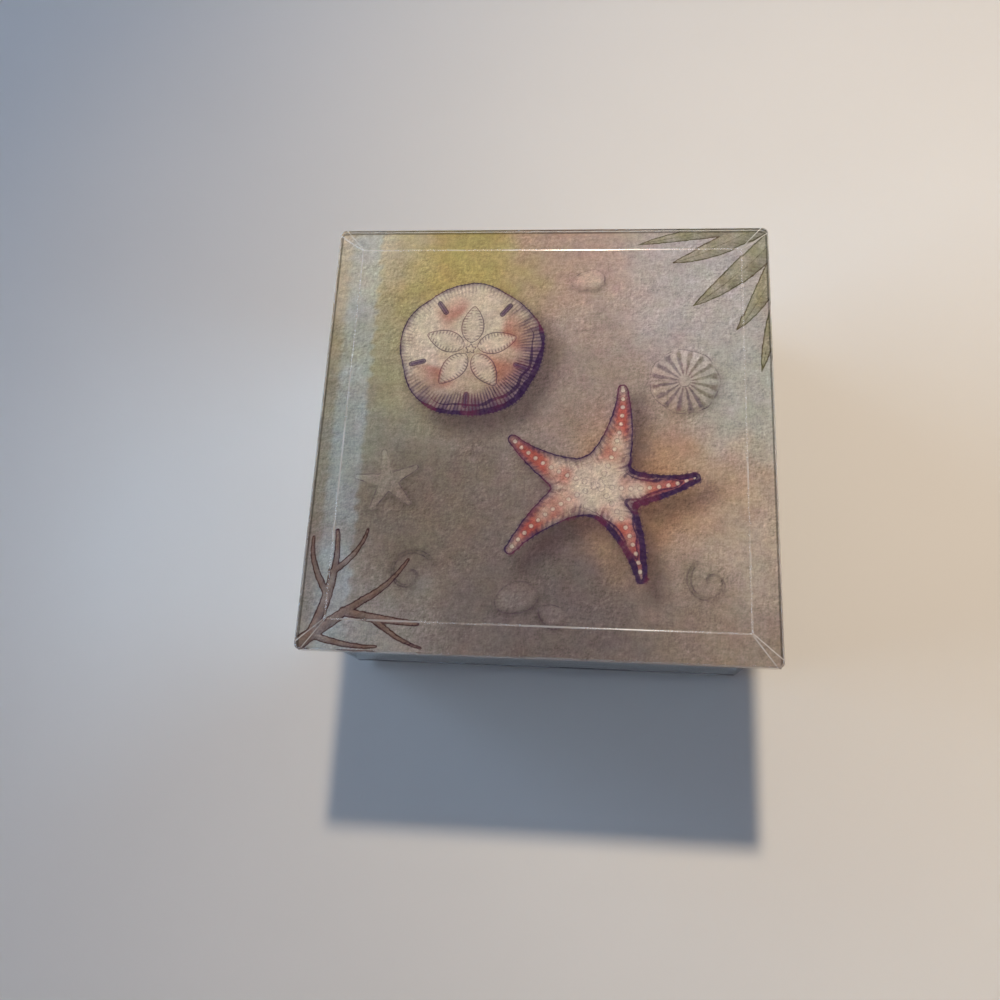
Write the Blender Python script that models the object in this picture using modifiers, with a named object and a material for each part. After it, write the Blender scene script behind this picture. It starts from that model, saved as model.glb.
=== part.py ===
"""A square glass trinket box.

A thick bevelled glass lid carries a picture on its underside and lifts off a body
of mirrored glass panels. Units are metres, +Z is up, and the origin is under the
middle of the box, on the surface it stands on. The front faces -Y.
"""

import math

import bmesh
import bpy

# Lid glass
LID_SIDE = 0.100
LID_THICKNESS = 0.004
BEVEL_WIDTH = 0.00635
BEVEL_DROP = 0.0012
LID_CORNER_RADIUS = 0.0012
CORNER_SEGMENTS = 4

# Picture sheet and the backing plate under it
PICTURE_THICKNESS = 0.0003
BACKING_THICKNESS = 0.003
BACKING_CLEARANCE = 0.001

# Body
LID_OVERHANG = 0.003
WALL_THICKNESS = 0.003
WALL_HEIGHT = 0.0371
BASE_THICKNESS = 0.003

# Felt pad under the base
FELT_THICKNESS = 0.001
FELT_INSET = 0.001
FELT_CORNER_RADIUS = 0.002

# Every glued or resting pair of faces is this far apart
JOINT_GAP = 0.0003

# Small flat ground along each sharp glass edge
ARRIS = 0.0003
ARRIS_ANGLE = math.radians(40)

# An edge counts as upright when it leans less than this
UPRIGHT_COSINE = math.cos(math.radians(1))

# Heights, from the table up
BASE_BOTTOM = FELT_THICKNESS + JOINT_GAP
WALL_BOTTOM = BASE_BOTTOM + BASE_THICKNESS + JOINT_GAP
WALL_TOP = WALL_BOTTOM + WALL_HEIGHT
PICTURE_BOTTOM = WALL_TOP + JOINT_GAP
LID_BOTTOM = PICTURE_BOTTOM + PICTURE_THICKNESS + JOINT_GAP
BACKING_BOTTOM = PICTURE_BOTTOM - JOINT_GAP - BACKING_THICKNESS

# Plan sizes
BODY_SIDE = LID_SIDE - 2 * LID_OVERHANG
INSIDE_SIDE = BODY_SIDE - 2 * WALL_THICKNESS
SIDE_WALL_LENGTH = INSIDE_SIDE - 2 * JOINT_GAP
BACKING_SIDE = INSIDE_SIDE - 2 * BACKING_CLEARANCE
FELT_SIDE = BODY_SIDE - 2 * FELT_INSET
WALL_OFFSET = (BODY_SIDE - WALL_THICKNESS) / 2


def clear_scene():
    for thing in list(bpy.data.objects):
        bpy.data.objects.remove(thing, do_unlink=True)


def make_material(name, colour, roughness, metallic=0.0, transmission=0.0):
    material = bpy.data.materials.new(name)
    material.use_nodes = True
    shader = material.node_tree.nodes["Principled BSDF"]
    shader.inputs["Base Color"].default_value = (*colour, 1.0)
    shader.inputs["Roughness"].default_value = roughness
    shader.inputs["Metallic"].default_value = metallic
    shader.inputs["Transmission Weight"].default_value = transmission
    return material


def make_holder(name, parent=None, height=0.0):
    """An empty that carries pieces which are handled together."""
    holder = bpy.data.objects.new(name, None)
    holder.location.z = height
    holder.parent = parent
    box_collection.objects.link(holder)
    return holder


def start_block(size):
    """A bmesh block of that size, centred on its own origin."""
    block = bmesh.new()
    bmesh.ops.create_cube(block, size=1.0)
    bmesh.ops.scale(block, vec=size, verts=block.verts)
    return block


def is_upright(edge):
    start, end = edge.verts
    return abs((end.co - start.co).normalized().z) > UPRIGHT_COSINE


def round_uprights(block, radius):
    """Rounds the vertical corner edges of a block."""
    bmesh.ops.bevel(
        block,
        geom=[edge for edge in block.edges if is_upright(edge)],
        offset=radius,
        segments=CORNER_SEGMENTS,
        profile=0.5,
        affect="EDGES",
    )


def add_piece(name, block, material, holder, x=0.0, y=0.0, bottom=0.0, arris=ARRIS):
    """Makes an object of the block, with its middle at x, y and its underside at that height."""
    height = max(vert.co.z for vert in block.verts) * 2
    mesh = bpy.data.meshes.new(name)
    block.to_mesh(mesh)
    block.free()
    piece = bpy.data.objects.new(name, mesh)
    piece.data.materials.append(material)
    piece.parent = holder
    piece.location = (x, y, bottom + height / 2 - holder.location.z)
    box_collection.objects.link(piece)
    if arris:
        edges = piece.modifiers.new("arris", "BEVEL")
        edges.width = arris
        edges.segments = 1
        edges.limit_method = "ANGLE"
        edges.angle_limit = ARRIS_ANGLE
    return piece


def add_lid_glass(material, holder):
    """A slab whose upper rim is ground down to a wide, shallow bevel."""
    block = start_block((LID_SIDE, LID_SIDE, LID_THICKNESS))
    top = max(block.faces, key=lambda face: face.calc_center_median().z)
    bmesh.ops.inset_region(block, faces=[top], thickness=BEVEL_WIDTH)
    for vert in block.verts:
        if vert.co.z > 0 and abs(vert.co.x) > LID_SIDE / 2 - BEVEL_WIDTH / 2:
            vert.co.z -= BEVEL_DROP
    round_uprights(block, LID_CORNER_RADIUS)
    return add_piece("lid_glass", block, material, holder, bottom=LID_BOTTOM)


def add_lid_picture(material, holder):
    """The printed sheet, cut to the outline of the glass."""
    block = start_block((LID_SIDE, LID_SIDE, PICTURE_THICKNESS))
    round_uprights(block, LID_CORNER_RADIUS)
    return add_piece("lid_picture", block, material, holder, bottom=PICTURE_BOTTOM, arris=0)


def add_lid_backing(material, holder):
    """The plate that drops between the walls and keeps the lid in place."""
    block = start_block((BACKING_SIDE, BACKING_SIDE, BACKING_THICKNESS))
    return add_piece("lid_backing", block, material, holder, bottom=BACKING_BOTTOM)


def add_wall(name, length, depth, x, y, material, holder):
    block = start_block((length, depth, WALL_HEIGHT))
    return add_piece(name, block, material, holder, x, y, WALL_BOTTOM)


def add_walls(material, holder):
    """Front and back run the full width, and the sides fit between them."""
    for name, side in (("front_wall", -1), ("back_wall", 1)):
        add_wall(name, BODY_SIDE, WALL_THICKNESS, 0.0, side * WALL_OFFSET, material, holder)
    for name, side in (("left_wall", -1), ("right_wall", 1)):
        add_wall(
            name, WALL_THICKNESS, SIDE_WALL_LENGTH, side * WALL_OFFSET, 0.0, material, holder
        )


def add_base_plate(material, holder):
    block = start_block((BODY_SIDE, BODY_SIDE, BASE_THICKNESS))
    return add_piece("base_plate", block, material, holder, bottom=BASE_BOTTOM)


def add_felt_pad(material, holder):
    block = start_block((FELT_SIDE, FELT_SIDE, FELT_THICKNESS))
    round_uprights(block, FELT_CORNER_RADIUS)
    return add_piece("felt_pad", block, material, holder, bottom=0.0, arris=0)


clear_scene()
box_collection = bpy.data.collections.new("glass_trinket_box")
bpy.context.scene.collection.children.link(box_collection)

clear_glass = make_material("clear glass", (0.86, 0.90, 0.88), 0.02, transmission=1.0)
printed_sheet = make_material("printed sheet", (0.52, 0.46, 0.39), 0.6)
mirror_glass = make_material("mirror glass", (0.80, 0.84, 0.85), 0.04, metallic=1.0)
dark_felt = make_material("dark felt", (0.03, 0.03, 0.04), 0.95)

box = make_holder("trinket_box")
lid = make_holder("lid", box, WALL_TOP)
body = make_holder("body", box)

add_lid_glass(clear_glass, lid)
add_lid_picture(printed_sheet, lid)
add_lid_backing(mirror_glass, lid)
add_walls(mirror_glass, body)
add_base_plate(mirror_glass, body)
add_felt_pad(dark_felt, body)
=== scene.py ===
import functools
import math

import bpy
import numpy as np
from mathutils import Matrix, Vector


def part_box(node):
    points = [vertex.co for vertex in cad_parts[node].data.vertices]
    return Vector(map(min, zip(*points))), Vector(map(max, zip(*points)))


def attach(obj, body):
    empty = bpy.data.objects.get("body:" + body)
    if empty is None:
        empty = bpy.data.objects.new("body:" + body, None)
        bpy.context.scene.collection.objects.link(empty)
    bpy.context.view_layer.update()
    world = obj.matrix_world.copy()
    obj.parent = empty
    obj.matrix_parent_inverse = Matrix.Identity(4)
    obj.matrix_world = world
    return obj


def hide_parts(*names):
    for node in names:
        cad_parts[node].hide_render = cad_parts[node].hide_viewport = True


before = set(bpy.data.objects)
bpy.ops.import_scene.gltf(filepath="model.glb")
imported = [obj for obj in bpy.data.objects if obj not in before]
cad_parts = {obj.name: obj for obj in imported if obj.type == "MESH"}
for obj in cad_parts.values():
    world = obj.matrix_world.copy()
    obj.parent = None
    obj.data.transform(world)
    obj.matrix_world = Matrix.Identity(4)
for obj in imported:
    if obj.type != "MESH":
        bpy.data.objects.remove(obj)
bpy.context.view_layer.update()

mm = 0.001


# Small helpers for colours, node trees and meshes

def linearColour(code):  # an sRGB hex colour as linear RGBA
    channels = [int(code[i:i + 2], 16) / 255 for i in (1, 3, 5)]
    return [c / 12.92 if c <= 0.04045 else ((c + 0.055) / 1.055) ** 2.4 for c in channels] + [1.0]


def addNode(tree, kind, sockets=None, **settings):
    # a value that is itself a socket becomes a link, and a node stands for its first output
    node = tree.nodes.new("ShaderNode" + kind)
    for name, value in settings.items():
        setattr(node, name, value)
    for name, value in (sockets or {}).items():
        if isinstance(value, bpy.types.Node):
            value = value.outputs[0]
        if isinstance(value, bpy.types.NodeSocket):
            tree.links.new(value, node.inputs[name])
        else:
            node.inputs[name].default_value = value
    return node


def newMaterial(name):
    material = bpy.data.materials.new(name)
    material.use_nodes = True
    material.node_tree.nodes.clear()
    return material, material.node_tree


def closeMaterial(tree, shader):
    addNode(tree, "OutputMaterial", {"Surface": shader})


def makeMesh(name, points, quads, caps=(), quadSlots=0, capSlots=0, smoothQuads=False):
    # points is n by 3, quads is m by 4, and each cap is one flat face of many corners
    loops = np.concatenate([quads.ravel()] + [np.asarray(cap) for cap in caps])
    sizes = np.concatenate([np.full(len(quads), 4), [len(cap) for cap in caps]]).astype(int)
    starts = np.concatenate([[0], np.cumsum(sizes)[:-1]])
    mesh = bpy.data.meshes.new(name)
    mesh.vertices.add(len(points))
    mesh.vertices.foreach_set("co", np.asarray(points, np.float32).ravel())
    mesh.loops.add(len(loops))
    mesh.loops.foreach_set("vertex_index", loops.astype(np.int32))
    mesh.polygons.add(len(sizes))
    mesh.polygons.foreach_set("loop_start", starts.astype(np.int32))
    mesh.polygons.foreach_set("loop_total", sizes.astype(np.int32))
    slots = np.concatenate([np.broadcast_to(quadSlots, len(quads)), np.broadcast_to(capSlots, len(caps))])
    mesh.polygons.foreach_set("material_index", slots.astype(np.int32))
    smooth = np.concatenate([np.broadcast_to(smoothQuads, len(quads)), np.zeros(len(caps), bool)])
    mesh.update(calc_edges=True)
    mesh.polygons.foreach_set("use_smooth", smooth)
    mesh.validate()
    return mesh


def placePiece(name, mesh, materials, replaced):
    # the mesh holds its own place, so its object stays at the origin and takes the node's part in the frame
    piece = bpy.data.objects.new(name, mesh)
    bpy.context.scene.collection.objects.link(piece)
    for material in materials:
        mesh.materials.append(material)
    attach(piece, "root")
    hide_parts(replaced)
    return piece


# Camera, where the photograph was taken from

camera = {
    "place": (0.01112, -0.07220, 0.23019),
    "right": (0.9947034, 0.0505356, -0.0895059),
    "up": (-0.0225139, 0.9567643, 0.2899916),
    "back": (0.1002910, -0.2864405, 0.9528345),
    "lens": 32.58,
    "sensor": 36.0,
}


def setCamera(spec):
    # the camera's three axes are the columns of its turn
    data = bpy.data.cameras.new("camera")
    data.lens = spec["lens"]
    data.sensor_width = spec["sensor"]
    data.clip_start = 0.01
    eye = bpy.data.objects.new("camera", data)
    turn = Matrix((spec["right"], spec["up"], spec["back"])).transposed().to_4x4()
    eye.matrix_world = Matrix.Translation(spec["place"]) @ turn
    bpy.context.scene.collection.objects.link(eye)
    bpy.context.scene.camera = eye


setCamera(camera)
print("camera set")


# Floor, room light and lamps

room = {
    "floorSide": 4.0,
    "floorColour": "#e2e1de",
    "floorClouds": 60 * mm,
    "floorDrift": 0.03,    # how far its tone strays each way
    "floorRoughness": 0.55,
    "skyLeft": "#9897a6",
    "skyRight": "#9d9699",
    "skyStrength": 0.39,
    "turnsWarm": 0.9,      # x of the direction where the walls are all cool or all warm
    "windowSide": (-0.985, 0.174, 0.0),
    "windowLow": 0.25,     # sines of its lower and upper edge
    "windowHigh": 0.44,
    "windowWidth": 0.86,   # cosine of its half width
    "windowSoft": 0.02,
    "windowGlow": 9.2,
    "windowColour": "#b6daff",
}

lamps = {
    "key lamp": {
        "place": (0.0, 0.78, 0.99),
        "aim": (0.30, -0.10, 0.03),
        "size": 0.10,
        "spread": 48,
        "power": 1.34,
        "colour": "#ffeace",
        "onlyGlints": False,
    },
    "far lamp": {
        "place": (-0.028, 0.78, 0.99),
        "aim": (-0.30, 0.38, 0.0),
        "size": 0.09,
        "spread": 55,
        "power": 0.30,
        "colour": "#d8e6ff",
        "onlyGlints": False,
    },
    "glint lamp": {
        "place": (0.086, -0.083, 1.2466),
        "aim": (0.022, -0.0437, 0.0466),
        "size": 0.03,
        "spread": 180,
        "power": 1.7,
        "colour": "#fff6e8",
        "onlyGlints": True,  # it draws the bright stroke on the lid's near ridge
    },
}


def addFloor(spec):
    half = spec["floorSide"] / 2
    corners = [(-half, -half, 0), (half, -half, 0), (half, half, 0), (-half, half, 0)]
    mesh = bpy.data.meshes.new("floor")
    mesh.from_pydata(corners, [], [(0, 1, 2, 3)])
    floor = bpy.data.objects.new("floor", mesh)
    bpy.context.scene.collection.objects.link(floor)
    paint, tree = newMaterial("pale matt floor")
    metres = addNode(tree, "TexCoord").outputs["Object"]
    cloudy = addNode(tree, "TexNoise", {"Vector": metres, "Scale": 1.0 / spec["floorClouds"], "Detail": 3.0})
    drift = spec["floorDrift"]
    shade = addNode(tree, "MapRange", {"Value": cloudy, "To Min": 1 - drift, "To Max": 1 + drift})
    colour = addNode(tree, "VectorMath", {
        0: linearColour(spec["floorColour"])[:3], 3: shade,
    }, operation="SCALE")
    closeMaterial(tree, addNode(tree, "BsdfPrincipled", {
        "Base Color": colour, "Roughness": spec["floorRoughness"],
    }))
    mesh.materials.append(paint)


def addLamp(name, spec):
    # a round lamp that faces its aim
    data = bpy.data.lights.new(name, "AREA")
    data.shape = "DISK"
    data.size = spec["size"]
    data.spread = math.radians(spec["spread"])
    data.energy = spec["power"]
    data.color = linearColour(spec["colour"])[:3]
    lamp = bpy.data.objects.new(name, data)
    along = Vector(spec["aim"]) - Vector(spec["place"])
    turn = along.to_track_quat("-Z", "Y").to_matrix().to_4x4()
    lamp.matrix_world = Matrix.Translation(spec["place"]) @ turn
    bpy.context.scene.collection.objects.link(lamp)
    lamp.visible_transmission = False  # the lid casts no shadow, so this light would count twice
    lamp.visible_diffuse = not spec["onlyGlints"]


def setWorld(spec):
    # a soft room, cool on the left and warm on the right, with a low bright window on the left
    world = bpy.data.worlds.new("soft room")
    world.use_nodes = True
    tree = world.node_tree
    tree.nodes.clear()
    direction = addNode(tree, "TexCoord").outputs["Generated"]
    axes = addNode(tree, "SeparateXYZ", {0: direction}).outputs
    across = addNode(tree, "MapRange", {
        "Value": axes["X"], "From Min": -spec["turnsWarm"], "From Max": spec["turnsWarm"],
    }, interpolation_type="SMOOTHSTEP")
    walls = addNode(tree, "Mix", {
        "Factor": across, 6: linearColour(spec["skyLeft"]), 7: linearColour(spec["skyRight"]),
    }, data_type="RGBA").outputs[2]
    facing = addNode(tree, "VectorMath", {0: direction, 1: spec["windowSide"]}, operation="DOT_PRODUCT")
    window = 1.0
    soft = spec["windowSoft"]
    for value, outer, inner in (
        (axes["Z"], spec["windowLow"] - soft, spec["windowLow"]),
        (axes["Z"], spec["windowHigh"] + soft, spec["windowHigh"]),
        (facing.outputs["Value"], spec["windowWidth"] - 2 * soft, spec["windowWidth"]),
    ):
        edge = addNode(tree, "MapRange", {"Value": value, "From Min": outer, "From Max": inner},
                       interpolation_type="SMOOTHSTEP")
        window = addNode(tree, "Math", {0: edge, 1: window}, operation="MULTIPLY")
    glow = addNode(tree, "VectorMath", {
        0: [c * spec["windowGlow"] for c in linearColour(spec["windowColour"])[:3]], 3: window,
    }, operation="SCALE")
    light = addNode(tree, "VectorMath", {0: walls, 1: [spec["skyStrength"]] * 3, 2: glow},
                    operation="MULTIPLY_ADD")
    addNode(tree, "OutputWorld", {"Surface": addNode(tree, "Background", {"Color": light})})
    world.cycles.sampling_method = "NONE"  # its light then bends as it goes through the lid
    bpy.context.scene.world = world


addFloor(room)
setWorld(room)
for name, spec in lamps.items():
    addLamp(name, spec)
bpy.context.scene.view_settings.view_transform = "Standard"
bpy.context.scene.cycles.blur_glossy = 0.0  # the window's light keeps its edges as it goes through the bevel
print("floor, room light and lamps set")


# Lid glass

lidGlass = {
    "ridgeWidth": 0.42 * mm,
    "ridgeSteps": 5,
    "bevelWidth": 6.35 * mm,
    "bevelDrop": 1.2 * mm,
    "cornerRadius": 1.2 * mm,
    "innerRadius": 0.06 * mm,
    "arris": 0.3 * mm,
    "cornerSteps": 10,
    "mitreWidth": 0.28 * mm,
    "glass": "#f7fbf9",
    "index": 1.52,         # soda lime float glass
    "groundGlass": "#f4f6f5",
    "groundRoughness": 0.17,
    "frostWhite": "#f2f4f5",
    "frost": 0.20,         # usual share of white on the ground edges
    # the mitre strips are made whiter, a painted highlight at each corner
    "mitreFrostAndHighlight": 0.38,
    "frostLeast": 0.4,     # times the usual share where the painted glints are faintest, and where they are brightest
    "frostMost": 2.0,
    "glintPatchesSize": 12 * mm,
    "glintPatchesShift": (-23 * mm, 40 * mm, 0.0),
}


def roundedRectangles(halves, radii, cornerSteps, lead=0.0):
    # each row is a rectangle of those half sides with corners of that radius, going round anticlockwise.
    # With a lead, each corner also has a point that far before its arc and one after it.
    quarter = np.linspace(0, math.pi / 2, cornerSteps + 1)
    before = np.zeros(cornerSteps + 1)
    if lead:
        quarter = np.concatenate([[0], quarter, [math.pi / 2]])
        before = np.concatenate([[lead], before, [-lead]])
    angles = (np.arange(4)[:, None] * math.pi / 2 + quarter).ravel()
    signs = np.array([(1, 1), (-1, 1), (-1, -1), (1, -1)]).repeat(len(quarter), axis=0)
    middles = (halves - radii[:, None])[:, None] * signs
    arcs = radii[:, None, None] * np.stack([np.cos(angles), np.sin(angles)], -1)
    return middles + arcs + np.tile(before, 4)[:, None] * np.stack([np.sin(angles), -np.cos(angles)], -1)


def ringQuads(rings, around):
    # joins each ring to the next one, with faces that look outwards when the rings run downwards
    i, j = np.meshgrid(np.arange(rings - 1), np.arange(around), indexing="ij")
    k = (j + 1) % around
    faces = [i * around + j, (i + 1) * around + j, (i + 1) * around + k, i * around + k]
    return np.stack(faces, -1).reshape(-1, 4)


def ringCaps(rings, around):  # the flat faces that close the first ring and the last one
    return [np.arange(around), np.arange(around)[::-1] + (rings - 1) * around]


def lidGlassMesh(spec):
    # rounded squares, one under another, that follow the slab's section from its top to its foot
    low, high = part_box("lid_glass")
    half, top, thickness = high.x, high.z, high.z - low.z
    ridge, arris = spec["bevelWidth"], spec["arris"]
    slope = spec["bevelDrop"] / ridge
    # over the rounded ridge the height follows a parabola that meets the flat and the bevel
    across = np.linspace(-0.5, 0.5, spec["ridgeSteps"] + 1) * spec["ridgeWidth"]
    rounded = slope * (across + spec["ridgeWidth"] / 2) ** 2 / (2 * spec["ridgeWidth"])
    # then come the foot of the bevel, the two edges of the side and the edge of the underside
    insets = np.concatenate([ridge - across, [arris, 0, 0, arris]])
    below = [slope * (ridge - arris), slope * ridge + arris, thickness - arris, thickness]
    heights = top - np.concatenate([rounded, below])
    radii = np.where(insets > ridge / 2, spec["innerRadius"], spec["cornerRadius"])
    outline = roundedRectangles(np.repeat((half - insets)[:, None], 2, 1), radii, spec["cornerSteps"],
                                spec["mitreWidth"])
    rings, around = outline.shape[:2]
    points = np.concatenate([outline, np.broadcast_to(heights[:, None, None], (rings, around, 1))], -1)
    quads = ringQuads(rings, around)
    band = np.repeat(np.arange(rings - 1), around)
    column = np.tile(np.arange(around), rings - 1) % (spec["cornerSteps"] + 3)
    onArc = (column > 0) & (column < spec["cornerSteps"] + 1)
    # ground: the ridge, the arrises above and below the side, and beside each corner a whiter strip, ground
    # glass with a painted highlight
    mitre = (band == spec["ridgeSteps"]) & ((column == 0) | (column == spec["cornerSteps"] + 1))
    ground = (band < spec["ridgeSteps"]) | mitre | (band == spec["ridgeSteps"] + 1) | (band == rings - 2)
    smooth = onArc & (band > spec["ridgeSteps"])
    slots = ground.astype(int) + mitre
    caps = ringCaps(rings, around)
    return makeMesh("lid_glass_polished", points.reshape(-1, 3), quads, caps, slots, 0, smooth)


def polishedGlass(spec):
    # float glass, polished: clear, with a faint green depth and mirror-sharp reflections
    material, tree = newMaterial("polished float glass")
    closeMaterial(tree, addNode(tree, "BsdfPrincipled", {
        "Base Color": linearColour(spec["glass"]), "Roughness": 0.0, "IOR": spec["index"],
        "Transmission Weight": 1.0,
    }))
    return material


def groundGlass(spec, name, frost):  # edges taken off with a stone: thin whitish lines that catch the light
    material, tree = newMaterial(name)
    clear = addNode(tree, "BsdfPrincipled", {
        "Base Color": linearColour(spec["groundGlass"]), "Roughness": spec["groundRoughness"],
        "IOR": spec["index"], "Transmission Weight": 1.0,
    })
    white = addNode(tree, "BsdfDiffuse", {"Color": linearColour(spec["frostWhite"])})
    metres = addNode(tree, "TexCoord").outputs["Object"]
    moved = addNode(tree, "VectorMath", {0: metres, 1: spec["glintPatchesShift"]}, operation="ADD")
    glintPatches = addNode(tree, "TexNoise", {"Vector": moved, "Scale": 1.0 / spec["glintPatchesSize"], "Detail": 6.0})
    # the white share swells and fades in patches along the edges: painted glints over the ground glass's own
    # whiteness
    share = addNode(tree, "MapRange", {
        "Value": glintPatches, "From Min": 0.3, "From Max": 0.7, "To Min": spec["frostLeast"] * frost,
        "To Max": spec["frostMost"] * frost,
    })
    closeMaterial(tree, addNode(tree, "MixShader", {0: share, 1: clear, 2: white}))
    return material


glass = polishedGlass(lidGlass)
frosted = groundGlass(lidGlass, "ground glass edge", lidGlass["frost"])
mitreWithHighlight = groundGlass(lidGlass, "ground mitre with painted highlight", lidGlass["mitreFrostAndHighlight"])
lidFinishes = [glass, frosted, mitreWithHighlight]
lidPiece = placePiece("bevelled_glass", lidGlassMesh(lidGlass), lidFinishes, "lid_glass")
lidPiece.visible_shadow = False  # lamplight goes straight through clear glass
print("lid glass made")


# Mirror panels: the walls, the base and the plate under the picture

panel = {
    "arris": 0.3 * mm,
    "silver": "#eef1ef",
    "cloudSize": 9 * mm,
    "clearest": 0.02,      # roughness
    "haziest": 0.07,
}


def slabMesh(name, node, spec, axis, outward):
    # a flat slab with a small flat ground along every edge: four outlines, one after the other, from
    # its outer face down to its silvered one. Axis is the way through it and outward is 1 or -1.
    low, high = (np.array(corner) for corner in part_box(node))
    order = [(axis + 1) % 3, (axis + 2) % 3]
    middle, half = (low + high) / 2, (high - low) / 2
    insets = np.array([spec["arris"], 0, 0, spec["arris"]])
    depths = half[axis] - np.array([0, spec["arris"], 2 * half[axis] - spec["arris"], 2 * half[axis]])
    outline = roundedRectangles(half[order] - insets[:, None], np.full(4, spec["arris"]), 1)
    if outward < 0:
        outline = outline[:, ::-1]
    rings, around = outline.shape[:2]
    points = np.zeros((rings, around, 3))
    points[..., order] = outline
    points[..., axis] = outward * depths[:, None]
    points = points.reshape(-1, 3) + middle
    return makeMesh(name, points, ringQuads(rings, around), ringCaps(rings, around), 1, [0, 2])


def silveredBack(spec):
    # silver laid on the glass: a bright mirror, a little cloudy from place to place
    material, tree = newMaterial("silvered back")
    metres = addNode(tree, "TexCoord").outputs["Object"]
    cloudy = addNode(tree, "TexNoise", {"Vector": metres, "Scale": 1.0 / spec["cloudSize"], "Detail": 4.0})
    haze = addNode(tree, "MapRange", {"Value": cloudy, "To Min": spec["clearest"], "To Max": spec["haziest"]})
    closeMaterial(tree, addNode(tree, "BsdfPrincipled", {
        "Base Color": linearColour(spec["silver"]), "Metallic": 1.0, "Roughness": haze,
    }))
    return material


silvered = silveredBack(panel)
for node, axis, outward in (
    ("front_wall", 1, -1), ("back_wall", 1, 1), ("left_wall", 0, -1), ("right_wall", 0, 1),
    ("base_plate", 2, 1), ("lid_backing", 2, -1),
):
    mesh = slabMesh(node + "_panel", node, panel, axis, outward)
    placePiece(node + "_panel", mesh, [glass, frosted, silvered], node)
print("mirror panels made")


# Felt pad

felt = {
    "cornerRadius": 2.0 * mm,
    "cornerSteps": 8,
    "sideSteps": 60,
    "heightSteps": 6,
    "roundShare": 0.35,    # of its thickness, how far the top and bottom edges draw in
    "nap": 0.12 * mm,
    "colour": "#23242b",
    "fibre": "#474a56",
    "fibreSize": 0.35 * mm,
    "fibreDepth": 0.15 * mm,
}


def feltMesh(spec):
    # outlines one over the other, rounded in at the top and bottom, each point drawn in a little by the nap
    low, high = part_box("felt_pad")
    half, thickness = high.x, high.z - low.z
    turn = np.linspace(0, math.pi, spec["heightSteps"] + 1)
    insets = spec["nap"] + spec["roundShare"] * thickness * (1 - np.sqrt(np.sin(turn)))
    heights = low.z + thickness * (1 + np.cos(turn)) / 2
    rings = len(insets)
    halves = np.repeat((half - insets)[:, None], 2, 1)
    corners = roundedRectangles(halves, np.full(rings, spec["cornerRadius"]), spec["cornerSteps"])
    # the straight sides are cut into short lengths so that the nap can show on them
    closed = np.concatenate([corners, corners[:, :1]], 1)
    steps = np.where(np.arange(closed.shape[1] - 1) % (spec["cornerSteps"] + 1) == spec["cornerSteps"],
                     spec["sideSteps"], 1)
    stops = np.concatenate([[0], np.cumsum(steps)])
    along = np.arange(stops[-1])
    sides = [[np.interp(along, stops, ring[:, k]) for ring in closed] for k in (0, 1)]
    outline = np.stack(sides, -1)
    draw = np.random.default_rng(7)
    shrink = 1 - spec["nap"] * draw.uniform(0, 1, outline.shape[:2]) / half
    outline = outline * shrink[..., None]
    around = outline.shape[1]
    points = np.concatenate([outline, np.broadcast_to(heights[:, None, None], (rings, around, 1))], -1)
    quads, caps = ringQuads(rings, around), ringCaps(rings, around)
    return makeMesh("felt_pad_soft", points.reshape(-1, 3), quads, caps)


def pressedFelt(spec):  # short dark fibres pressed flat, dull, with a little light caught by the loose ends
    material, tree = newMaterial("pressed wool felt")
    metres = addNode(tree, "TexCoord").outputs["Object"]
    fibres = addNode(tree, "TexNoise", {
        "Vector": metres, "Scale": 1.0 / spec["fibreSize"], "Detail": 5.0, "Distortion": 1.5,
    })
    share = addNode(tree, "MapRange", {"Value": fibres, "From Min": 0.35, "From Max": 0.75})
    colour = addNode(tree, "Mix", {
        "Factor": share, 6: linearColour(spec["colour"]), 7: linearColour(spec["fibre"]),
    }, data_type="RGBA").outputs[2]
    bump = addNode(tree, "Bump", {"Height": fibres, "Strength": 0.6, "Distance": spec["fibreDepth"]})
    closeMaterial(tree, addNode(tree, "BsdfPrincipled", {
        "Base Color": colour, "Roughness": 0.95, "Specular IOR Level": 0.2, "Sheen Weight": 0.3,
        "Sheen Roughness": 0.6, "Normal": bump,
    }))
    return material


placePiece("felt_pad_soft", feltMesh(felt), [pressedFelt(felt)], "felt_pad")
print("felt pad made")


# Printed picture, a generic seaside design. What is painted on the sheet is placed and sized in
# millimetres, from the lid's middle.

picture = {
    "inset": 0.2 * mm,
    "sunk": 0.05 * mm,
    "cells": 310,
}

ground = {
    "base": "#969090",
    # x, y, spread, colour and strength of each broad wash
    "washes": [
        (-46, 46, 12, "#c9c4b9", 1.0), (-22, 39, 13, "#b5aa72", 1.0), (-33, 19, 12, "#a5a38b", 0.9),
        (9, 42, 13, "#b3a098", 0.9), (33, 36, 16, "#b3b3bb", 1.0), (44, 8, 13, "#aab0b2", 0.9),
        (20, 8, 14, "#9f9390", 0.9), (26, -13, 13, "#b38f70", 1.0), (42, -24, 12, "#afa9a6", 0.8),
        (6, -40, 17, "#726b6e", 1.0), (36, -44, 12, "#91857f", 0.8), (-44, -6, 11, "#959993", 0.9),
        (-28, -20, 14, "#817872", 0.9), (-42, -44, 12, "#9c9fa4", 0.9),
    ],
    "wander": 3.2,         # how far their edges stray
    "paintedBandInner": -39.8,  # x of the edges of the painted band of window light
    "paintedBandOuter": -46.8,
    "paintedBandColour": "#b2c4d2",
    "paintedBandStrength": 0.42,
}

sandDollar = {
    "middle": (-17.0, 19.5),
    "radius": 16.5,
    "turn": 0.28,
    "pale": "#d0cac2",
    "cream": "#b9ab9c",
    "rose": "#ac6960",
    "shade": "#5b4a6c",
    "ink": "#35244e",
    "plum": "#5d2d4c",
    "lip": 0.855,          # of its radius, the line inside its rim
    "streaks": 25,
    "lightFrom": (-0.62, 0.78),
}

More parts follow.
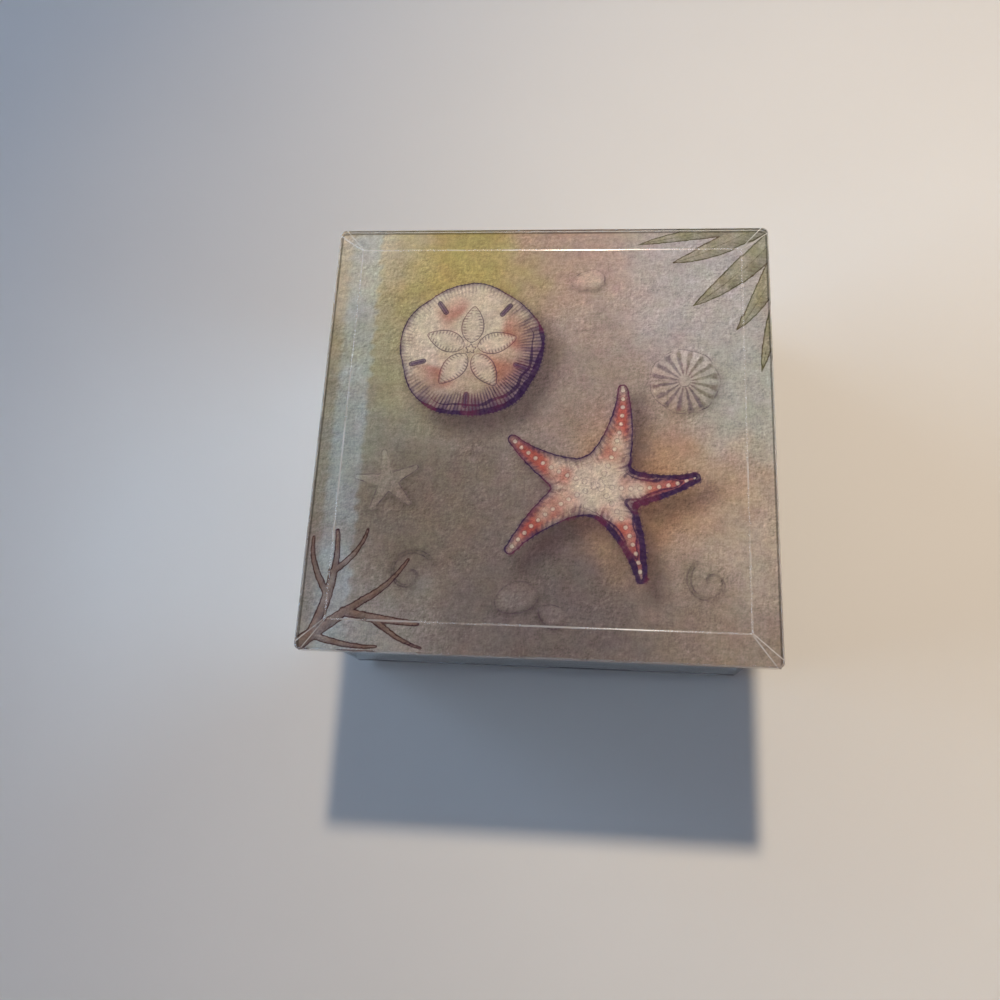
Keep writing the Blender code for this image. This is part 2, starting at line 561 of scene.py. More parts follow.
starfish = {
    "middle": (12.5, -12.5),
    "reach": 23.0,
    "turn": 1.35,
    "lean": 0.26,          # how far each arm bends aside
    "tip": 1.15,           # half its width at the end, and what the root has more
    "shoulder": 4.5,
    "thinning": 1.15,      # the power by which it narrows
    "web": 0.75,
    "lightFrom": (-0.78, 0.62),
    "ribPitch": 1.5,
    "streakPitch": 3.3,
    "pale": "#cbc5bd",
    "cream": "#b0a095",
    "coral": "#b0534c",
    "crimson": "#8f2f3c",
    "shade": "#5a4a68",
    "ink": "#35244e",
    "plum": "#5d2d4c",
}

faintFigures = {
    "urchin": (31.0, 12.0, 7.6),
    "smallStar": (-33.5, -12.5, 7.0),
    "pebbles": [(-4.0, -37.5, 4.6, 3.3, 0.3), (3.6, -41.0, 3.0, 2.3, -0.4), (9.5, 37.0, 3.9, 2.6, 0.2)],
    "curls": [(-27.0, -33.0, 5.6, 0.4), (36.0, -33.0, 5.0, 2.2)],
    "ink": "#4f4055",
    "pen": 0.12,
    "lightFrom": (-0.62, 0.78),
}

seaGrass = {
    # root, middle, tip and half width of each blade
    "blades": [
        ((51, 53), (40, 45), (28.5, 41.5), 2.3), ((53, 50), (44, 38), (33.0, 30.5), 2.6),
        ((54, 47), (50, 35), (42.5, 24.5), 2.3), ((52, 52), (36, 50), (20.5, 46.0), 1.9),
        ((56, 42), (50, 27), (47.5, 14.5), 1.8),
    ],
    "leaf": "#8c8c68",
    "deep": "#6b6e56",
    "thin": 0.40,          # how much of the ground shows through
    "ink": "#4b4a34",
    "plum": "#504434",
    "pen": 0.14,
}

coralSprig = {
    # root, middle, tip and half width of each branch
    "branches": [
        ((-54, -52), (-44, -44), (-33.5, -37.0), 1.55), ((-46.5, -45.6), (-42, -34), (-43.5, -24.0), 1.15),
        ((-40.5, -41.6), (-33, -43), (-24.5, -43.5), 1.05),
        ((-44.4, -37.5), (-49, -31), (-48.5, -25.5), 0.85),
        ((-43.6, -33.0), (-38, -29), (-36.8, -23.5), 0.8), ((-34, -42.6), (-29, -47), (-23.5, -48.5), 0.75),
        ((-36.5, -39.0), (-31, -36.0), (-27.5, -30.0), 0.85),
        ((-47, -46.5), (-39, -49), (-33.0, -48.5), 0.85),
    ],
    "leaf": "#80675f",
    "deep": "#5e4a4c",
    "thin": 0.24,
    "ink": "#463033",
    "plum": "#3e2a38",
    "pen": 0.14,
}

paintedShadow = {
    "colour": "#46353c",
    "shift": (3.0, -3.4),  # from each figure to its shadow
    "spread": 4.2,
    "strength": 0.66,
}


def pictureMesh(spec):
    # a closed sheet whose upper face is an even grid, fine enough to carry the painting's fields
    low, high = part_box("lid_picture")
    half = high.x - spec["inset"]
    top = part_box("lid_glass")[0].z + spec["sunk"]
    side = np.linspace(-half, half, spec["cells"] + 1)
    x, y = np.meshgrid(side, side, indexing="xy")
    count = spec["cells"] + 1
    upper = np.stack([x.ravel(), y.ravel(), np.full(x.size, top)], -1)
    index = np.arange(count * count).reshape(count, count)
    quads = np.stack([index[:-1, :-1], index[:-1, 1:], index[1:, 1:], index[1:, :-1]], -1).reshape(-1, 4)
    rim = np.concatenate([index[0, :-1], index[:-1, -1], index[-1, :0:-1], index[:0:-1, 0]])
    lower = upper[rim].copy()
    lower[:, 2] = low.z
    under = np.arange(len(rim)) + len(upper)
    skirt = np.stack([rim, under, np.roll(under, -1), np.roll(rim, -1)], -1)
    points = np.concatenate([upper, lower])
    return makeMesh("printed_sheet", points, np.concatenate([quads, skirt]), [under[::-1]]), points


def ease(start, stop, value):  # 0 before start, 1 past stop, and a smooth climb between
    share = np.clip((value - start) / (stop - start), 0, 1)
    return share * share * (3 - 2 * share)


def blend(first, second, share):  # that share of the way from the first colour to the second, point by point
    return first + (second - first) * np.asarray(share)[..., None]


def tint(code):
    return np.array(linearColour(code)[:3])


def cloud(x, y, size, seed):
    # between -1 and 1: a sum of turned sine waves whose lengths are near that size
    draw = np.random.default_rng(seed)
    total = 0
    for _ in range(9):
        turn, phase = draw.uniform(0, 2 * math.pi), draw.uniform(0, 2 * math.pi)
        length = size * draw.uniform(0.7, 1.7)
        along = x * math.cos(turn) + y * math.sin(turn)
        total = total + np.sin(2 * math.pi * along / length + phase)
    return np.clip(total / 4.5, -1, 1)


def arc(start, middle, end, steps):  # points of a quadratic curve
    t = np.linspace(0, 1, steps + 1)[:, None]
    return (1 - t) ** 2 * np.array(start) + 2 * t * (1 - t) * np.array(middle) + t * t * np.array(end)


def stroke(x, y, path, widths):
    # signed distance to a tapering brush stroke, how far along it each point is, and how far to its side
    lengths = np.hypot(*np.diff(path, axis=0).T)
    starts = np.concatenate([[0], np.cumsum(lengths)])
    signed, along, across = np.full(x.shape, 1e3), 0 * x, 0 * x
    for i, length in enumerate(lengths):
        (ax, ay), (bx, by) = path[i], path[i + 1]
        ux, uy = (bx - ax) / length, (by - ay) / length
        reach = np.clip((x - ax) * ux + (y - ay) * uy, 0, length)
        away = np.hypot(x - ax - reach * ux, y - ay - reach * uy)
        part = away - (widths[i] + (widths[i + 1] - widths[i]) * reach / length)
        nearer = part < signed
        signed = np.where(nearer, part, signed)
        along = np.where(nearer, starts[i] + reach, along)
        across = np.where(nearer, (y - ay) * ux - (x - ax) * uy, across)
    return signed, along, across


def paintGround(x, y, spec):
    # each point takes the mean of the washes, weighted by how near their middles are
    px = x + spec["wander"] * (cloud(x, y, 17, 1) + 0.5 * cloud(x, y, 6, 2))
    py = y + spec["wander"] * (cloud(x, y, 17, 3) + 0.5 * cloud(x, y, 6, 4))
    weight = np.full(x.shape, 0.10)
    colour = tint(spec["base"]) * weight[..., None]
    for wx, wy, spread, code, strength in spec["washes"]:
        near = strength * np.exp(-((px - wx) ** 2 + (py - wy) ** 2) / spread ** 2)
        weight = weight + near
        colour = colour + tint(code) * near[..., None]
    # a painted band of cool window light, as if it came in through the bevel, runs down the left side
    ragged = x + 0.7 * cloud(x, y, 3, 5)
    paintedBand = ease(spec["paintedBandInner"] + 0.6, spec["paintedBandInner"] - 0.6, ragged)
    paintedBand = paintedBand * ease(spec["paintedBandOuter"] - 1.4, spec["paintedBandOuter"] + 1.4, ragged)
    paintedBand = paintedBand * spec["paintedBandStrength"] * (0.85 + 0.35 * cloud(x, y, 9, 6))
    return blend(colour / weight[..., None], tint(spec["paintedBandColour"]), paintedBand)


def towardsLight(dx, dy, spec):  # how far towards the painted light, in mm
    return dx * spec["lightFrom"][0] + dy * spec["lightFrom"][1]


def figureFields(x):  # a figure's signed outline and the strokes inside it, before it sets its own
    still = 0 * x
    return {"edge": still + 1e3, "pen": still, "detail": still + 9, "detailPen": still, "phase": still,
            "hatch": still, "lip": still + 9, "lipPen": still, "along": still, "across": still + 9,
            "width": still + 1}


def paintSandDollar(x, y, spec):
    # a disk whose rim waves a little, with five petals, five slots and a small star round its middle
    radius = spec["radius"]
    dx, dy = x - spec["middle"][0], y - spec["middle"][1]
    r, angle = np.hypot(dx, dy), np.arctan2(dy, dx) - spec["turn"]
    fifth = 2 * math.pi / 5
    off = (angle + fifth / 2) % fifth - fifth / 2
    half = angle % fifth - fifth / 2
    # shallow lobes make the rim, and each petal is a pointed leaf about its own line
    rim = radius * (1 + 0.022 * np.cos(5 * off) + 0.008 * np.cos(3 * angle + 1) + 0.005 * np.cos(11 * angle))
    edge = r - rim
    along, across = r * np.cos(off), np.abs(r * np.sin(off))
    share = np.clip((along / radius - 0.10) / 0.56, 0, 1)
    petal = across - 0.155 * radius * np.sin(math.pi * share ** 0.8) ** 0.75
    petal = np.where((share <= 0) | (share >= 1), across + 0.3, petal)
    slotAlong, slotAcross = r * np.cos(half) - 0.76 * radius, r * np.sin(half)
    slot = np.hypot(np.clip(np.abs(slotAlong) - 0.085 * radius, 0, None), slotAcross) - 0.030 * radius
    hub = r - radius * (0.055 + 0.018 * np.cos(5 * off))
    facing = towardsLight(dx, dy, spec) / radius
    rough = cloud(x, y, 5, 11)
    tone = blend(tint(spec["cream"]), tint(spec["pale"]), ease(-0.6, 0.7, facing + 0.35 * rough))
    blush = ease(0.05, 0.8, cloud(x, y, 11, 12) + 0.2 - 0.5 * facing) * ease(0.98, 0.5, r / radius)
    tone = blend(tone, tint(spec["rose"]), 0.75 * blush * ease(0.02, 0.3, r / radius))
    tone = blend(tone, tint(spec["pale"]), 0.75 * ease(0.1, -0.9, petal))
    low = ease(0.35, -0.9, facing + 0.15 * rough)
    streaks = ease(0.0, 0.9, np.cos(spec["streaks"] * angle + 2.5 * cloud(x, y, 6, 13)))
    streaks = streaks * ease(0.60, 0.95, r / rim) * ease(0.75, -0.6, facing)
    tone = blend(tone, tint(spec["shade"]), 0.70 * streaks)
    tone = blend(tone, tint(spec["shade"]), 0.85 * low * ease(0.45, 1.02, r / rim))
    tone = blend(tone, tint(spec["shade"]), 0.60 * ease(-1.5, 0.0, edge + 0.4 * rough))
    tone = blend(tone, tint(spec["shade"]), 0.95 * ease(0.2, -0.35, slot))
    inPetal = ease(0.0, -0.25, petal) * ease(-1.25, -0.8, petal)
    reach = 0.84 + 0.06 * rough - 0.20 * low
    atRim = ease(reach - 0.06, reach + 0.08, r / radius) * (0.40 + 0.60 * low)
    pen = 0.13 + 0.60 * ease(0.1, -0.95, facing + 0.25 * rough)
    return {
        **figureFields(x), "edge": edge, "tone": tone, "pen": pen,
        "detail": np.minimum(np.minimum(petal, slot), hub), "detailPen": 0.13 + 0 * x,
        "lip": r - spec["lip"] * rim + 0.5 * rough, "lipPen": 0.42 * ease(-0.1, -0.9, facing),
        "phase": np.where(petal < 0.1, along / 0.72, angle * 112 / (2 * math.pi)),
        "hatch": np.where(petal < 0.1, 0.75 * inPetal, atRim),
    }


def paintStarfish(x, y, spec):
    # five bent arms, each a stroke that thins out from the middle to a round tip
    dx, dy = x - spec["middle"][0], y - spec["middle"][1]
    nearest, along, across, joined = np.full(x.shape, 1e3), 0 * x, 0 * x, 0
    taper = (1 - np.linspace(0, 1, 8)) ** spec["thinning"]
    for arm, share in enumerate((1.0, 0.93, 1.02, 0.96, 0.90)):
        reach = share * spec["reach"]
        angle = spec["turn"] + arm * 2 * math.pi / 5 + 0.05 * math.sin(2.3 * arm)
        bend = angle + spec["lean"] * (1 if arm % 2 else -1)
        middle = (0.55 * reach * math.cos(bend), 0.55 * reach * math.sin(bend))
        path = arc((0, 0), middle, (reach * math.cos(angle), reach * math.sin(angle)), 7)
        signed, far, side = stroke(dx, dy, path, spec["tip"] + spec["shoulder"] * taper)
        nearer = signed < nearest
        nearest, along = np.where(nearer, signed, nearest), np.where(nearer, far, along)
        across = np.where(nearer, side, across)
        joined = joined + np.exp(-signed / spec["web"])
    # the arms run into each other with a soft web
    edge = -spec["web"] * np.log(joined)
    share = np.clip(along / spec["reach"], 0, 1)
    width = spec["tip"] + spec["shoulder"] * (1 - share) ** spec["thinning"]
    side = np.abs(across) / width
    rough = cloud(x, y, 5, 21)
    turned = -towardsLight(dx, dy, spec) / np.maximum(np.hypot(dx, dy), 6) + 0.25 * rough
    tone = blend(tint(spec["cream"]), tint(spec["pale"]), ease(0.0, -2.6, edge + 0.9 * rough))
    blush = ease(0.10, 0.70, share + 0.22 * cloud(x, y, 7, 22)) * ease(1.08, 0.80, share)
    tone = blend(tone, tint(spec["coral"]), 0.90 * blush * ease(1.05, 0.35, side))
    deep = blush * ease(0.45, 0.85, share + 0.2 * rough) * ease(0.2, 0.9, side)
    tone = blend(tone, tint(spec["crimson"]), 0.75 * deep)
    streaks = ease(0.1, 0.9, np.cos(2 * math.pi * along / spec["streakPitch"] + 2.5 * cloud(x, y, 6, 23)))
    streaks = streaks * ease(0.30, 0.95, side) * ease(-0.45, 0.6, turned) * ease(3.0, 6.0, along)
    tone = blend(tone, tint(spec["shade"]), 0.60 * streaks)
    tone = blend(tone, tint(spec["shade"]), 0.75 * ease(-1.6, 0.1, edge))
    tone = blend(tone, tint(spec["shade"]), 0.70 * ease(-0.1, 0.9, turned) * ease(-3.0, -0.2, edge))
    # ribs bend outwards from the middle line of each arm
    ribs = (along - 0.55 * np.abs(across) - 0.05 * across ** 2) / spec["ribPitch"]
    ribbed = ease(2.2, 5.0, along) * ease(0.12, 0.75, side) * (0.55 + 0.45 * ease(-0.4, 0.6, turned))
    return {
        **figureFields(x), "edge": edge, "tone": tone, "pen": 0.14 + 0.50 * ease(-0.1, 0.95, turned),
        "along": along, "across": across, "width": width, "phase": ribs, "hatch": ribbed,
        "lip": edge + 1.5 + 0.5 * rough, "lipPen": 0.26 * ease(0.1, 0.9, turned) * ease(0.95, 0.7, share),
    }


def paintBlades(x, y, blades, spec, wash, pointed):
    # leaves or twigs: each is a stroke that narrows to its tip, and the paper shows through a little
    fields = {**figureFields(x), "pen": spec["pen"] + 0 * x}
    t = np.linspace(0, 1, 10)
    taper = np.sin(math.pi * (0.28 + 0.72 * t)) ** 0.8 + 0.04 if pointed else 1 - 0.58 * t
    for root, middle, tip, width in blades:
        signed, along, across = stroke(x, y, arc(root, middle, tip, 9), width * taper)
        nearer = signed < fields["edge"]
        for key, value in (("edge", signed), ("along", along), ("across", across), ("width", width)):
            fields[key] = np.where(nearer, value, fields[key])
    sided = fields["across"] / fields["width"] * (1 if pointed else -1)
    tone = blend(tint(spec["leaf"]), tint(spec["deep"]), ease(-0.4, 1.0, sided))
    fields["tone"] = blend(tone, wash, spec["thin"] + 0.15 * cloud(x, y, 4, 31))
    if pointed:  # a vein runs along its middle
        fields["detail"], fields["detailPen"] = np.abs(fields["across"]) - 0.01, 0.09 + 0 * x
    fields["phase"] = (fields["along"] + 0.9 * np.abs(fields["across"])) / 1.2
    fields["hatch"] = (0.35 if pointed else 0.5) * ease(-0.15, -0.5, fields["edge"]) * ease(-0.2, 0.8, sided)
    fields["across"] = 9 + 0 * x  # so far from a middle line, no bumps are drawn
    return fields


def nearerLine(line, other):  # at each point the signed field that is nearer its zero line
    return np.where(np.abs(other) < np.abs(line), other, line)


def paintFaintFigures(x, y, spec):
    # a signed field whose zero line is penned thinly, a change of light, and the urchin's spokes
    ux, uy, radius = spec["urchin"]
    r, angle = np.hypot(x - ux, y - uy), np.arctan2(y - uy, x - ux)
    urchin, eye = r - radius * (1 + 0.02 * np.cos(7 * angle)), r - 0.17 * radius
    line = nearerLine(urchin, eye)
    lowSide = -towardsLight(x - ux, y - uy, spec) / radius
    light = 0.5 * ease(0.6, -0.6, lowSide) * ease(0.3, -0.3, urchin)
    light = light - 0.6 * ease(0.0, 0.9, lowSide) * np.exp(-(urchin / 1.3) ** 2)
    spokes = 0.8 * ease(1.0, 0.9, r / radius) * ease(0.16, 0.24, r / radius)
    sx, sy, reach = spec["smallStar"]
    star = 1e3 + 0 * x
    for arm in range(5):
        turn = 0.5 + arm * 2 * math.pi / 5
        path = np.array([(sx, sy), (sx + reach * math.cos(turn), sy + reach * math.sin(turn))])
        star = np.minimum(star, stroke(x, y, path, (1.75, 0.55))[0])
    line = nearerLine(line, star)
    lowSide = -towardsLight(x - sx, y - sy, spec) / reach
    light = light + 0.5 * ease(0.3, -0.3, star)
    light = light - 0.5 * ease(-0.2, 0.5, lowSide) * np.exp(-((star - 0.4) / 0.9) ** 2)
    for px, py, width, height, turn in spec["pebbles"]:
        u = ((x - px) * math.cos(turn) + (y - py) * math.sin(turn)) / width
        v = ((y - py) * math.cos(turn) - (x - px) * math.sin(turn)) / height
        pebble = (np.hypot(u, v) - 1 - 0.05 * np.cos(3 * np.arctan2(v, u) + px)) * height
        line = nearerLine(line, pebble)
        light = light + 0.45 * ease(0.4, -1.2, pebble)
        light = light - 0.6 * ease(0.2, -0.8, v) * np.exp(-((pebble + 0.1) / 0.8) ** 2)
    for cx, cy, size, start in spec["curls"]:
        t = np.linspace(0, 1, 22)
        turns, away = start + t * 2.25 * math.pi, size * (1 - 0.86 * t)
        path = np.stack([cx + away * np.cos(turns), cy + away * np.sin(turns)], -1)
        curl = stroke(x, y, path, 0.42 * (1 - 0.7 * t))[0]
        line = nearerLine(line, curl)
        light = light - 0.35 * ease(0.7, -0.2, curl) - 0.18 * np.exp(-(curl / 1.8) ** 2)
    return line, np.clip(light, -1, 1), spokes, angle * 16 / (2 * math.pi)


def paintPicture(x, y):
    # the ground with its shadows and faint figures, and at each point the figure whose outline is nearest
    wash = paintGround(x, y, ground)
    shiftX, shiftY = paintedShadow["shift"]
    cast = np.minimum(paintSandDollar(x - shiftX, y - shiftY, sandDollar)["edge"],
                      paintStarfish(x - shiftX, y - shiftY, starfish)["edge"])
    spread = paintedShadow["spread"]
    shadow = paintedShadow["strength"] * ease(spread, -0.6 * spread, cast)
    wash = blend(wash, tint(paintedShadow["colour"]), shadow)
    faintLine, light, spokes, spokePhase = paintFaintFigures(x, y, faintFigures)
    wash = wash * (1 + 0.55 * light)[..., None]
    figures = [
        (paintBlades(x, y, seaGrass["blades"], seaGrass, wash, True), seaGrass),
        (paintBlades(x, y, coralSprig["branches"], coralSprig, wash, False), coralSprig),
        (paintStarfish(x, y, starfish), starfish),
        (paintSandDollar(x, y, sandDollar), sandDollar),
    ]
    for fields, spec in figures:
        fields["ink"] = blend(tint(spec["ink"]), tint(spec["plum"]), ease(-0.1, 0.5, cloud(x, y, 9, 41)))
    fields = figures[0][0]
    for other, _ in figures[1:]:
        nearer = other["edge"] < fields["edge"]
        for key in fields:
            chosen = nearer[..., None] if other[key].ndim > nearer.ndim else nearer
            fields[key] = np.where(chosen, other[key], fields[key])
    bare = fields["edge"] > 0.5
    fields["phase"] = np.where(bare, spokePhase, fields["phase"])
    fields["hatch"] = np.where(bare, spokes, fields["hatch"])
    return {**fields, "wash": wash, "faintLine": faintLine}


def keepFields(mesh, points):
    # the painting is stored at the grid's points, and the paper's material draws its strokes from it
    fields = paintPicture(points[:, 0] / mm, points[:, 1] / mm)
    opaque = np.ones((len(points), 1))
    for name in ("wash", "tone", "ink"):
        layer = mesh.attributes.new(name, "FLOAT_COLOR", "POINT")
        layer.data.foreach_set("color", np.concatenate([fields[name], opaque], -1).ravel())
    for name, keys in (("outline", ("edge", "pen", "faintLine")), ("inner", ("detail", "detailPen", "hatch")),
                       ("arms", ("along", "across", "width")), ("strokes", ("phase", "lip", "lipPen"))):
        layer = mesh.attributes.new(name, "FLOAT_VECTOR", "POINT")
        layer.data.foreach_set("vector", np.stack([fields[key] for key in keys], -1).ravel())


paper = {
    "roughness": 0.75,
    "lightness": 1.06,
    "fleckSize": 0.8,      # mm between paler flecks
    "fleckDepth": 0.36,
    "tintSize": 5.0,       # mm
    "tintDepth": 0.20,
    "wobble": 0.20,        # mm that a pen line strays
    "wobbleSize": 1.1,     # mm
    "soft": 0.09,          # mm over which an edge of paint fades
    "drySize": 0.9,        # mm between the gaps of a dry brush
    "dryDepth": 1.2,
    "pressSize": 3.0,      # mm over which the brush presses harder and lighter
    "pressDepth": 0.9,
    "hatchCover": 0.66,
    "detailCover": 0.72,
    "lipCover": 0.78,
    "bumpCover": 0.85,
    "bumpRingCover": 0.45,
    "speckCover": 0.22,
    "outlineCover": 0.86,
    "threadPitch": 0.42,   # mm
    "threadDepth": 0.26,
    "mottleSize": 1.3,     # mm
    "mottleDepth": 0.70,
    "patchSize": 4.5,      # mm
    "patchDepth": 0.40,
    "grainSize": 0.32,     # mm
    "grainDepth": 0.75,
    "toothSize": 0.75,     # mm between the paper's dents, with painted light and shade as if lit from the upper left
    "toothShift": 0.2,     # of that size, from a dent's lit side to its dark one
    "toothShadeDepth": 1.5,
    "strongPatchesSize": 8.0,       # mm between places where the painted shade of the dents and the flecks are strong and where they are faint
    "bumpRow": 2.0,        # mm between the bumps along an arm
    "bumpRadius": 0.55,    # mm
    "bumpPen": 0.07,       # mm
    "speckRow": 1.6,       # mm between the specks on each side of them
    "speckAside": 0.58,    # of the arm's half width
    "speckRadius": 0.3,    # mm
    "hatchDrift": 1.8,     # mm over which the hatching wanders
    "breakSize": 2.2,      # mm over which the faint lines break off
    "breakDepth": 2.2,
    "unbroken": 0.32,      # their usual share
    "rimShadeWidth": 0.45,     # mm of painted shade along the sheet's edge
    "rimShadeTone": 0.42,
}


def printedPaper(spec, sheetSide):
    # pigment on laid paper, bonded under the glass: quite matt, with the paper's grain in every tone
    material, tree = newMaterial("pigment print on laid paper")
    node = functools.partial(addNode, tree)
    metres = node("TexCoord").outputs["Object"]
    place = node("VectorMath", {0: metres, 3: 1 / mm}, operation="SCALE")
    soft = spec["soft"]

    def noise(size, stretch=(1, 1, 1), shift=(0, 0, 0), detail=2.0):
        # cloudy noise about zero with features of that size in mm, drawn out or moved on
        scale = [s / size for s in stretch]
        scaled = node("VectorMath", {0: place, 1: scale, 2: shift}, operation="MULTIPLY_ADD")
        cloudy = node("TexNoise", {"Vector": scaled, "Scale": 1.0, "Detail": detail})
        return node("Math", {0: cloudy, 1: 0.5}, operation="SUBTRACT")

    def penLine(signed, half):
        # 1 on the zero line of a signed field, out to half the line's width
        size = node("Math", {0: signed}, operation="ABSOLUTE")
        over = node("Math", {0: size, 1: half}, operation="SUBTRACT")
        return node("MapRange", {"Value": over, "From Min": soft, "From Max": -soft},
                    interpolation_type="SMOOTHSTEP")

    colours = {}
    for name in ("wash", "tone", "ink"):
        colours[name] = node("Attribute", attribute_name=name).outputs["Color"]
    fields = {}
    for name in ("outline", "inner", "arms", "strokes"):
        vector = node("Attribute", attribute_name=name).outputs["Vector"]
        fields[name] = node("SeparateXYZ", {0: vector}).outputs
    edge, pen, faintLine = fields["outline"]
    detail, detailPen, hatchShare = fields["inner"]
    along, across, width = fields["arms"]
    phase, lip, lipPen = fields["strokes"]
    stray = node("Math", {0: noise(spec["wobbleSize"]), 1: 2 * spec["wobble"]}, operation="MULTIPLY")
    strayEdge = node("Math", {0: edge, 1: stray}, operation="ADD")
    inside = node("MapRange", {"Value": strayEdge, "From Min": soft, "From Max": -soft},
                  interpolation_type="SMOOTHSTEP")
    outside = node("Math", {0: 1.0, 1: inside}, operation="SUBTRACT")
    # a dry brush leaves gaps, and presses harder here and there
    dry = node("Math", {0: noise(spec["drySize"]), 1: spec["dryDepth"], 2: 1.0}, operation="MULTIPLY_ADD")
    press = node("Math", {0: noise(spec["pressSize"]), 1: spec["pressDepth"], 2: 1.0},
                 operation="MULTIPLY_ADD")

    # fine hatching: a wave along the stroke's phase
    wavy = node("Math", {0: noise(spec["hatchDrift"]), 1: 0.5, 2: phase}, operation="MULTIPLY_ADD")
    wave = node("Math", {0: wavy}, operation="FRACT")
    wave = node("Math", {0: wave, 1: 0.5}, operation="SUBTRACT")
    wave = node("Math", {0: wave}, operation="ABSOLUTE")
    hatch = node("MapRange", {"Value": wave, "From Min": 0.34, "From Max": 0.10},
                 interpolation_type="SMOOTHSTEP")
    strayDetail = node("Math", {0: stray, 1: 0.5, 2: detail}, operation="MULTIPLY_ADD")
    strayLip = node("Math", {0: lip, 1: stray}, operation="ADD")

    def bumpRow(pitch, aside, radius):
        # signed distance to a row of round bumps along an arm, that far to each side of its middle line
        cell = node("Math", {0: along, 1: pitch}, operation="DIVIDE")
        cell = node("Math", {0: cell}, operation="FRACT")
        cell = node("Math", {0: cell, 1: 0.5}, operation="SUBTRACT")
        cell = node("Math", {0: cell, 1: pitch}, operation="MULTIPLY")
        side = node("Math", {0: across}, operation="ABSOLUTE")
        side = node("Math", {0: side, 1: aside}, operation="SUBTRACT")
        away = node("VectorMath", {0: node("CombineXYZ", {0: cell, 1: side})}, operation="LENGTH")
        over = node("Math", {0: away.outputs["Value"], 1: radius}, operation="SUBTRACT")
        return node("Math", {0: stray, 1: 0.8, 2: over}, operation="MULTIPLY_ADD")

    onFigure = node("MapRange", {"Value": edge, "From Min": -0.1, "From Max": -0.5},
                    interpolation_type="SMOOTHSTEP")
    bumps = bumpRow(spec["bumpRow"], 0.0, spec["bumpRadius"])
    litBumps = node("MapRange", {"Value": bumps, "From Min": 0.10, "From Max": -0.35},
                    interpolation_type="SMOOTHSTEP")
    aside = node("Math", {0: width, 1: spec["speckAside"]}, operation="MULTIPLY")
    beside = bumpRow(spec["speckRow"], aside, spec["speckRadius"])
    specks = node("MapRange", {"Value": beside, "From Min": 0.08, "From Max": -0.08},
                  interpolation_type="SMOOTHSTEP")
    penHalf = node("Math", {0: pen, 1: press}, operation="MULTIPLY")
    outlined = node("Math", {0: penHalf, 1: 0.8, 2: strayEdge}, operation="MULTIPLY_ADD")
    strayFaint = node("Math", {0: faintLine, 1: stray}, operation="ADD")
    broken = node("Math", {0: noise(spec["breakSize"]), 1: spec["breakDepth"], 2: spec["unbroken"]},
                  operation="MULTIPLY_ADD", use_clamp=True)

    # each layer is a colour and the shares that are multiplied into its cover
    painted = colours["wash"]
    for colour, shares in (
        (colours["tone"], [inside]),
        (colours["ink"], [hatch, hatchShare, dry, spec["hatchCover"]]),
        (colours["ink"], [penLine(strayDetail, detailPen), inside, spec["detailCover"]]),
        (colours["ink"], [penLine(strayLip, lipPen), inside, spec["lipCover"]]),
        (linearColour(starfish["pale"]), [litBumps, onFigure, spec["bumpCover"]]),
        (colours["ink"], [penLine(bumps, spec["bumpPen"]), onFigure, spec["bumpRingCover"]]),
        (colours["ink"], [specks, onFigure, spec["speckCover"]]),
        (colours["ink"], [penLine(outlined, penHalf), dry, spec["outlineCover"]]),
        (linearColour(faintFigures["ink"]), [penLine(strayFaint, faintFigures["pen"]), broken, outside]),
    ):
        cover = 1.0
        for share in shares:
            cover = node("Math", {0: share, 1: cover}, operation="MULTIPLY")
        painted = node("Mix", {"Factor": cover, 6: painted, 7: colour}, data_type="RGBA").outputs[2]
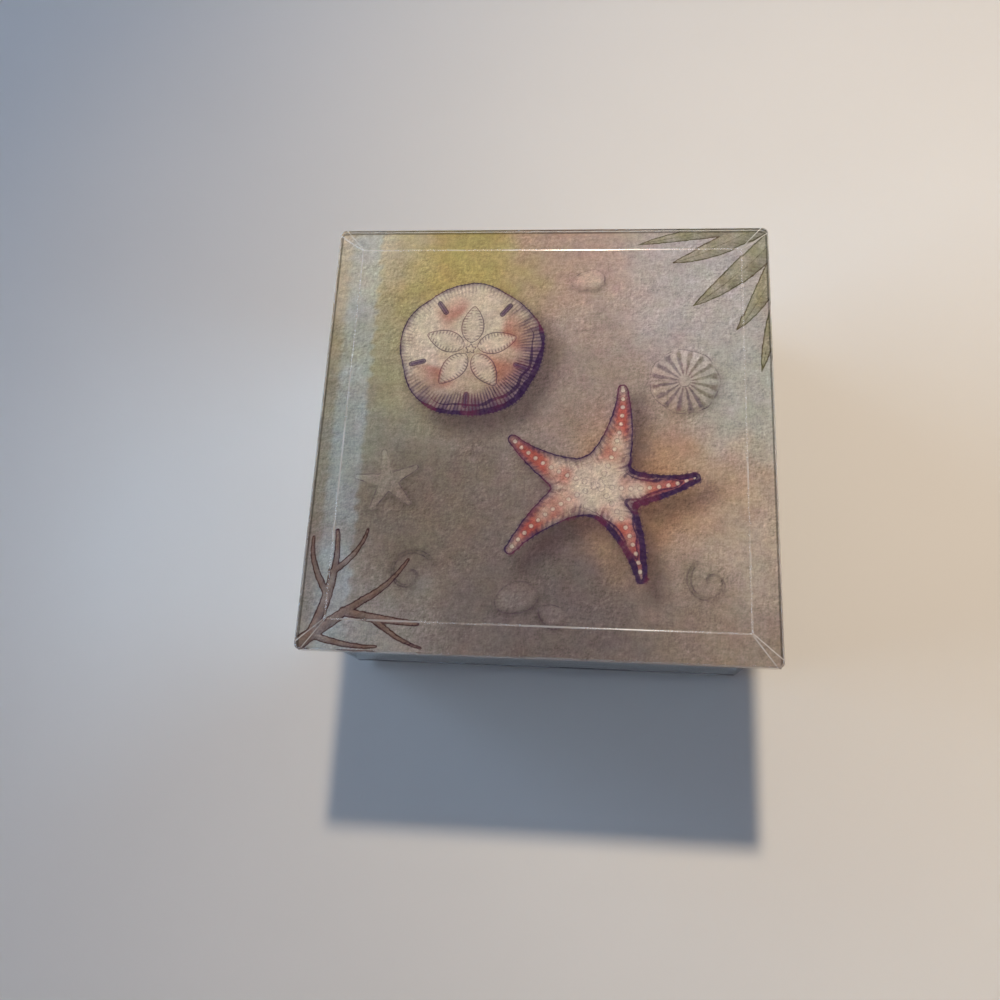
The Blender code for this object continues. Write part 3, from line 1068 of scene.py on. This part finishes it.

    # paper: laid threads both ways, mottling, a fine grain, and the dents of its tooth with painted light and
    # shade from one side, stronger in some places than in others
    strongPatches = node("MapRange", {
        "Value": noise(spec["strongPatchesSize"], detail=3.0), "From Min": -0.14, "From Max": 0.16, "To Min": 0.25,
    })
    flecks = node("MapRange", {
        "Value": noise(spec["fleckSize"], shift=(9, 0, 0), detail=4.0), "From Min": 0.05, "From Max": 0.20,
    })
    moved = spec["toothShift"]
    # painted light and shade of the dents: the noise less the same noise moved towards the light
    toothShade = node("Math", {
        0: noise(spec["toothSize"], shift=(0, 0, 5), detail=3.0),
        1: noise(spec["toothSize"], shift=(moved, -moved, 5), detail=3.0),
    }, operation="SUBTRACT")
    toothShade = node("Math", {0: toothShade, 1: strongPatches}, operation="MULTIPLY")
    texture = node("Math", {0: toothShade, 1: spec["toothShadeDepth"], 2: spec["lightness"]}, operation="MULTIPLY_ADD")
    flecks = node("Math", {0: flecks, 1: strongPatches}, operation="MULTIPLY")
    texture = node("Math", {0: flecks, 1: spec["fleckDepth"], 2: texture}, operation="MULTIPLY_ADD")
    for size, depth, stretch, fine in (
        (spec["threadPitch"], spec["threadDepth"], (0.12, 1.0, 1.0), 2.0),
        (spec["threadPitch"], spec["threadDepth"], (1.0, 0.12, 1.0), 2.0),
        (spec["mottleSize"], spec["mottleDepth"], (1, 1, 1), 4.0),
        (spec["grainSize"], spec["grainDepth"], (1, 1, 1), 2.0),
        (spec["patchSize"], spec["patchDepth"], (1, 1, 1), 3.0),
    ):
        texture = node("Math", {0: noise(size, stretch, detail=fine), 1: depth, 2: texture},
                       operation="MULTIPLY_ADD")
    # painted shade along the edge of the sheet, where less light comes in past the glass edge
    axes = node("SeparateXYZ", {0: place}).outputs
    reach = [node("Math", {0: axes[name]}, operation="ABSOLUTE") for name in "XY"]
    rim = node("Math", {0: reach[0], 1: reach[1]}, operation="MAXIMUM")
    rimShadeStart = sheetSide / 2 - spec["rimShadeWidth"]
    rimShade = node("MapRange", {
        "Value": rim, "From Min": rimShadeStart - 0.1, "From Max": rimShadeStart + 0.1, "To Min": 1.0,
        "To Max": spec["rimShadeTone"],
    }, interpolation_type="SMOOTHSTEP")
    shade = node("Math", {0: texture, 1: rimShade}, operation="MULTIPLY")
    # the pigment's hue drifts a little from place to place
    patches = node("VectorMath", {0: place, 3: 1 / spec["tintSize"]}, operation="SCALE")
    drift = node("TexNoise", {"Vector": patches, "Scale": 1.0, "Detail": 4.0}).outputs["Color"]
    hue = node("VectorMath", {0: drift, 1: [spec["tintDepth"]] * 3, 2: [1 - spec["tintDepth"] / 2] * 3},
               operation="MULTIPLY_ADD")
    tinted = node("VectorMath", {0: painted, 1: hue}, operation="MULTIPLY")
    printed = node("VectorMath", {0: tinted, 3: shade}, operation="SCALE")
    closeMaterial(tree, node("BsdfPrincipled", {
        "Base Color": printed, "Roughness": spec["roughness"], "Specular IOR Level": 0.0,
    }))
    return material


sheetMesh, sheetPoints = pictureMesh(picture)
keepFields(sheetMesh, sheetPoints)
printed = printedPaper(paper, 2 * sheetPoints[:, 0].max() / mm)
placePiece("printed_sheet", sheetMesh, [printed], "lid_picture")
print("printed picture made")
